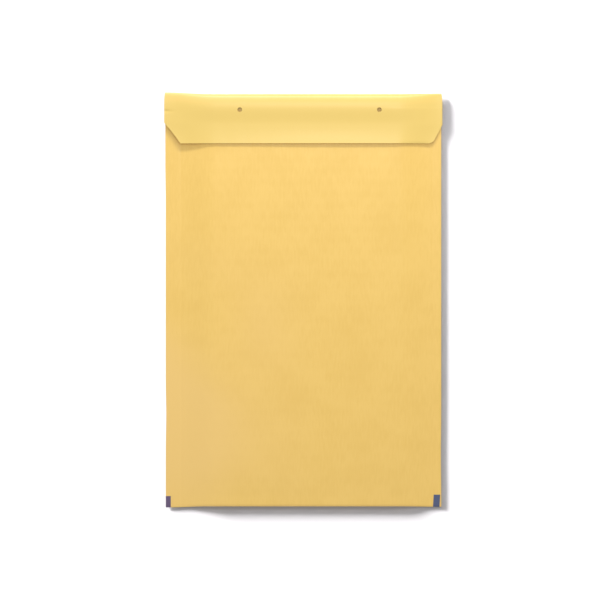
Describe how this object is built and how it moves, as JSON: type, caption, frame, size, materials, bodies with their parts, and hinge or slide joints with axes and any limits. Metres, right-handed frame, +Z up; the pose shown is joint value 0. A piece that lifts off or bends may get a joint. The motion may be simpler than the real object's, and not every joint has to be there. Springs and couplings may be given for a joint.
{
  "type": "padded envelope",
  "caption": "Golden kraft mailing envelope lined with bubble film, lying flat with its long flap folded down over the front.",
  "frame": {"origin": "centre of the mailer's outline, on the surface that its back lies on", "axes": "+Z up out of the front, +Y towards the rolled top fold, +X to the right as the front is read"},
  "size_m": [0.2418, 0.361, 0.0089],
  "materials": {
    "kraft_paper": "machine-glazed golden kraft, faint bubble imprint",
    "bubble_film": "clear film with air bubbles",
    "adhesive": "hot-melt coating",
    "liner_paper": "smooth silicone-coated paper"
  },
  "bodies": {
    "root": {"kraft_wrapper": "kraft_paper", "bubble_lining": "bubble_film", "adhesive_strip": "adhesive", "release_liner": "liner_paper"}
  },
  "joints": []
}
